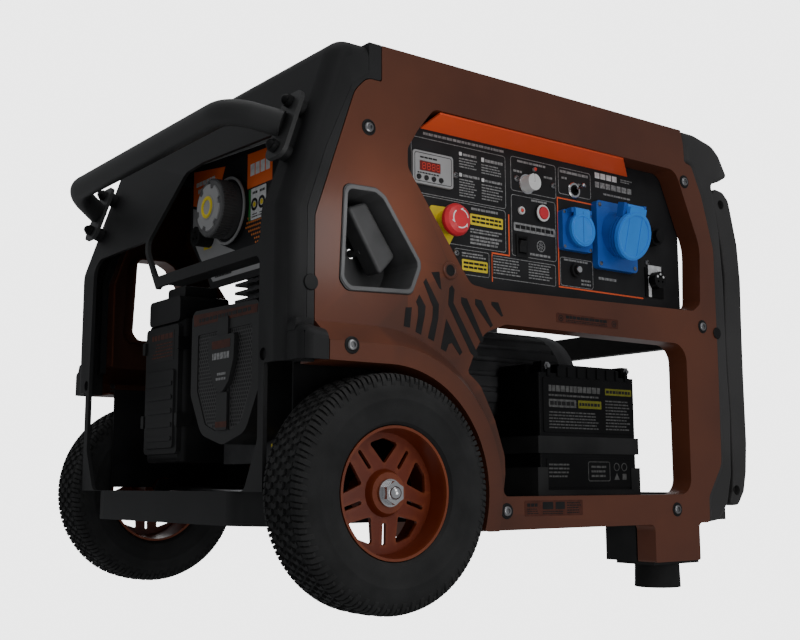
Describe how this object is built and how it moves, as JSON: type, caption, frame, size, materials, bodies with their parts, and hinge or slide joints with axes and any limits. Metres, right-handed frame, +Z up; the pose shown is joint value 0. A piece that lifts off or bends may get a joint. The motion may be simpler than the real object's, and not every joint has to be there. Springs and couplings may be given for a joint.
{
  "type": "portable generator",
  "caption": "Open-frame portable petrol generator with two wheels, rubber feet, tow handle, control panel with sockets, and a battery.",
  "frame": {"origin": "on the floor at the centre of the machine's bounding box", "axes": "+Z up, +X from the wheels and tow handle towards the feet, -Y towards the operator at the control panel"},
  "size_m": [0.8439, 0.663, 0.6665],
  "materials": {
    "orange_panel": "satin",
    "orange_trim": "satin",
    "black_moulding": "fine grain",
    "black_paint": "satin",
    "tyre_rubber": "matt",
    "soft_rubber": "matt",
    "rim_orange": "gloss",
    "bare_steel": "brushed",
    "bright_chrome": "polished",
    "cast_alloy": "cast",
    "grey_plastic": "fine grain",
    "battery_case": "satin",
    "red_plastic": "gloss",
    "yellow_plastic": "gloss",
    "blue_plastic": "gloss",
    "header_orange": "satin"
  },
  "bodies": {
    "chassis": {"side_panel_front": "orange_panel", "side_panel_back": "orange_panel", "corner_trims": "black_moulding", "end_cap_engine": "black_moulding", "end_cap_rear": "black_moulding", "rear_guards": "black_moulding", "roof_cover": "black_moulding", "fuel_tank": "black_paint", "base_tray": "black_paint", "axle": "bright_chrome", "leg_beam": "black_paint", "feet": "soft_rubber", "arch_liners": "black_moulding", "brackets": "black_paint", "tow_handle": "black_paint", "engine_block": "cast_alloy", "cylinder_head": "cast_alloy", "recoil_cover": "grey_plastic", "stator_housing": "cast_alloy", "end_bell": "cast_alloy", "rubber_mounts": "soft_rubber", "air_cleaner": "black_moulding", "carburettor": "cast_alloy", "muffler": "black_paint", "control_box": "black_paint", "control_panel": "black_moulding", "panel_header": "header_orange", "display_module": "grey_plastic", "emergency_stop_base": "yellow_plastic", "panel_fittings": "black_moulding", "socket_small": "blue_plastic", "socket_large": "blue_plastic", "starter_pocket": "black_moulding", "end_panel": "black_moulding", "battery": "battery_case", "battery_tray": "black_paint", "body_bolts": "bright_chrome"},
    "wheel_front": {"tyre_front": "tyre_rubber", "rim_front": "rim_orange"},
    "wheel_back": {"tyre_back": "tyre_rubber", "rim_back": "rim_orange"},
    "crank": {"crankshaft": "bare_steel", "flywheel": "cast_alloy"},
    "pulley": {"recoil_pulley": "grey_plastic"},
    "pull_grip": {"starter_grip": "black_moulding"},
    "stop_button": {"emergency_stop_button": "red_plastic"},
    "key_1": {"display_button_1": "black_moulding"},
    "key_2": {"display_button_2": "black_moulding"},
    "key_3": {"display_button_3": "black_moulding"},
    "key_4": {"display_button_4": "black_moulding"},
    "mode_knob": {"selector_knob": "grey_plastic"},
    "start_key": {"start_button": "red_plastic"},
    "rocker": {"rocker_switch": "black_moulding"},
    "toggle": {"toggle_lever": "bright_chrome"},
    "breaker": {"breaker_button": "black_moulding"},
    "lid_small": {"socket_small_lid": "blue_plastic"},
    "lid_large": {"socket_large_lid": "blue_plastic"},
    "filler_cap": {"fuel_cap": "black_moulding"},
    "dipstick": {"oil_dipstick": "yellow_plastic"},
    "engine_knob": {"engine_selector": "black_moulding"}
  },
  "joints": [
    {"name": "wheel_front_spin", "type": "hinge", "parent": "chassis", "child": "wheel_front", "pos_m": [-0.251, -0.293, 0.13], "axis": [0, 1, 0], "continuous": true},
    {"name": "wheel_back_spin", "type": "hinge", "parent": "chassis", "child": "wheel_back", "pos_m": [-0.251, 0.293, 0.13], "axis": [0, 1, 0], "continuous": true},
    {"name": "crank_spin", "type": "hinge", "parent": "chassis", "child": "crank", "pos_m": [-0.251, -0.09, 0.275], "axis": [1, 0, 0], "continuous": true},
    {"name": "recoil_pulley_spin", "type": "hinge", "parent": "chassis", "child": "pulley", "pos_m": [-0.324, -0.09, 0.275], "axis": [1, 0, 0], "range_deg": [0, 800]},
    {"name": "starter_grip_pull", "type": "slide", "parent": "chassis", "child": "pull_grip", "axis": [0, -1, 0], "range_m": [0, 0.45], "stiffness_N_per_m": 8, "springref_m": -0.05},
    {"name": "emergency_stop_press", "type": "slide", "parent": "chassis", "child": "stop_button", "axis": [0, 1, 0], "range_m": [0, 0.005], "stiffness_N_per_m": 200, "springref_m": -0.001},
    {"name": "key_1_press", "type": "slide", "parent": "chassis", "child": "key_1", "axis": [0, 1, 0], "range_m": [0, 0.0006], "stiffness_N_per_m": 150, "springref_m": -0.0003},
    {"name": "key_2_press", "type": "slide", "parent": "chassis", "child": "key_2", "axis": [0, 1, 0], "range_m": [0, 0.0006], "stiffness_N_per_m": 150, "springref_m": -0.0003},
    {"name": "key_3_press", "type": "slide", "parent": "chassis", "child": "key_3", "axis": [0, 1, 0], "range_m": [0, 0.0006], "stiffness_N_per_m": 150, "springref_m": -0.0003},
    {"name": "key_4_press", "type": "slide", "parent": "chassis", "child": "key_4", "axis": [0, 1, 0], "range_m": [0, 0.0006], "stiffness_N_per_m": 150, "springref_m": -0.0003},
    {"name": "mode_knob_turn", "type": "hinge", "parent": "chassis", "child": "mode_knob", "pos_m": [0.017, -0.253, 0.527], "axis": [0, 1, 0], "range_deg": [-60, 60]},
    {"name": "start_press", "type": "slide", "parent": "chassis", "child": "start_key", "axis": [0, 1, 0], "range_m": [0, 0.003], "stiffness_N_per_m": 200, "springref_m": -0.001},
    {"name": "rocker_flip", "type": "hinge", "parent": "chassis", "child": "rocker", "pos_m": [0.006, -0.251, 0.443], "axis": [-1, 0, 0], "range_deg": [0, 20]},
    {"name": "toggle_flip", "type": "hinge", "parent": "chassis", "child": "toggle", "pos_m": [0.104, -0.253, 0.532], "axis": [1, 0, 0], "range_deg": [0, 22]},
    {"name": "breaker_press", "type": "slide", "parent": "chassis", "child": "breaker", "axis": [0, 1, 0], "range_m": [0, 0.004], "stiffness_N_per_m": 200, "springref_m": -0.001},
    {"name": "small_lid_lift", "type": "hinge", "parent": "chassis", "child": "lid_small", "pos_m": [0.101, -0.269, 0.5005], "axis": [-1, 0, 0], "range_deg": [0, 100], "stiffness_Nm_per_rad": 0.02, "springref_deg": -20.05},
    {"name": "large_lid_lift", "type": "hinge", "parent": "chassis", "child": "lid_large", "pos_m": [0.178, -0.2944, 0.51035], "axis": [-1, 0, 0], "range_deg": [0, 100], "stiffness_Nm_per_rad": 0.05, "springref_deg": -20.05},
    {"name": "filler_cap_turn", "type": "hinge", "parent": "chassis", "child": "filler_cap", "pos_m": [-0.131, 0.105, 0.65], "axis": [0, 0, 1], "range_deg": [0, 90]},
    {"name": "dipstick_turn", "type": "hinge", "parent": "chassis", "child": "dipstick", "pos_m": [-0.287, -0.14, 0.178], "axis": [1, 0, 0], "range_deg": [0, 180]},
    {"name": "engine_knob_turn", "type": "hinge", "parent": "chassis", "child": "engine_knob", "pos_m": [-0.311, -0.024, 0.491], "axis": [-1, 0, 0], "range_deg": [0, 90]}
  ],
  "couplings": [
    {"joint": "recoil_pulley_spin", "follows": "starter_grip_pull", "rad_per_m": 29.4}
  ]
}
